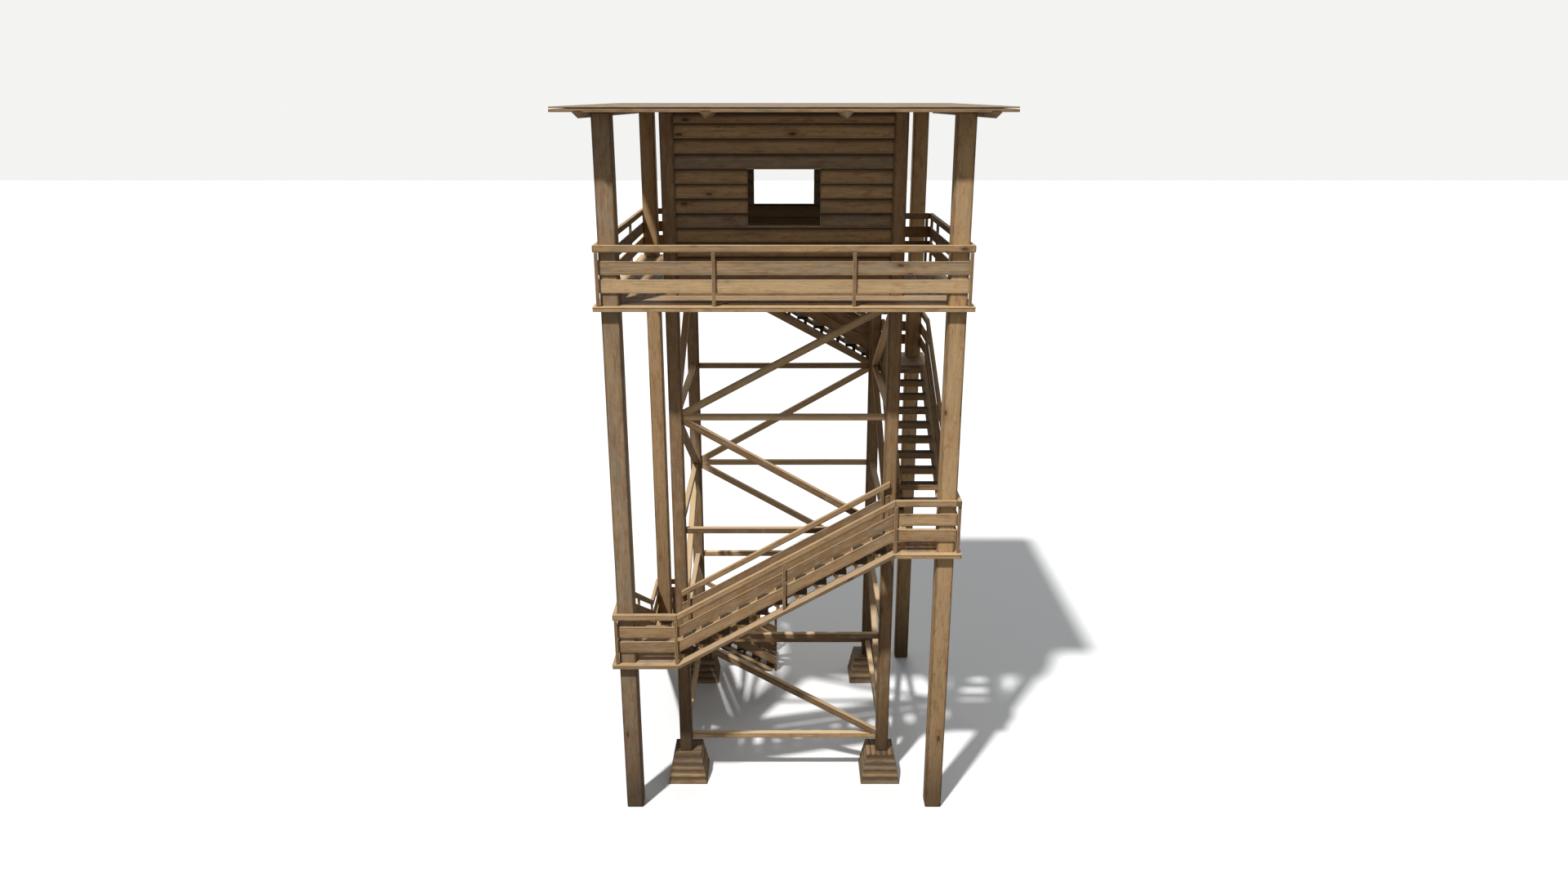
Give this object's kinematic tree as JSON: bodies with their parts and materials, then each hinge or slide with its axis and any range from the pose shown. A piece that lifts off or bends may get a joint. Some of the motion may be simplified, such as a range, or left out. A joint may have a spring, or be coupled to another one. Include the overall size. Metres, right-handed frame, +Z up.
{
  "type": "wooden watchtower",
  "caption": "Square wooden watchtower: braced legs on boarded footings, a winding outside stair, a railed gallery and a boarded cabin under a flat roof.",
  "frame": {"origin": "on the ground, in the middle of the tower's square plan", "axes": "+Z up; -Y is the front, with the third flight rising to the right; +X is right seen from the front"},
  "size_m": [6.48, 6.48, 11.766],
  "materials": {
    "footing_boards": "weathered sawn softwood",
    "legs": "weathered sawn softwood",
    "posts": "weathered sawn softwood",
    "bracing": "weathered sawn softwood",
    "floor_boards": "weathered sawn softwood",
    "treads": "weathered sawn softwood",
    "strings": "weathered sawn softwood",
    "guard_rails": "weathered sawn softwood",
    "wall_boards": "weathered sawn softwood",
    "roof_boards": "weathered sawn softwood",
    "rafters": "weathered sawn softwood"
  },
  "bodies": {
    "root": {"footings": "footing_boards", "leg_front_left": "legs", "leg_front_right": "legs", "leg_back_left": "legs", "leg_back_right": "legs", "post_front_left": "posts", "post_front_right": "posts", "post_back_left": "posts", "post_back_right": "posts", "leg_ties": "bracing", "leg_braces": "bracing", "landing_back_left": "floor_boards", "landing_front_left": "floor_boards", "landing_front_right": "floor_boards", "landing_back_right": "floor_boards", "treads_back_lower": "treads", "treads_left": "treads", "treads_front": "treads", "treads_right": "treads", "treads_back_upper": "treads", "strings_back_lower": "strings", "strings_left": "strings", "strings_front": "strings", "strings_right": "strings", "strings_back_upper": "strings", "rails_back_lower": "guard_rails", "rails_left": "guard_rails", "rails_front": "guard_rails", "rails_right": "guard_rails", "rails_back_upper": "guard_rails", "landing_rail_back_left": "guard_rails", "landing_rail_front_left": "guard_rails", "landing_rail_front_right": "guard_rails", "landing_rail_back_right": "guard_rails", "gallery_deck": "floor_boards", "gallery_rail_front": "guard_rails", "gallery_rail_left": "guard_rails", "gallery_rail_right": "guard_rails", "gallery_rail_back": "guard_rails", "stairwell_rail": "guard_rails", "cabin_floor": "floor_boards", "wall_front": "wall_boards", "wall_back": "wall_boards", "wall_left": "wall_boards", "wall_right": "wall_boards", "roof_deck": "roof_boards", "roof_rafters": "rafters"}
  },
  "joints": []
}
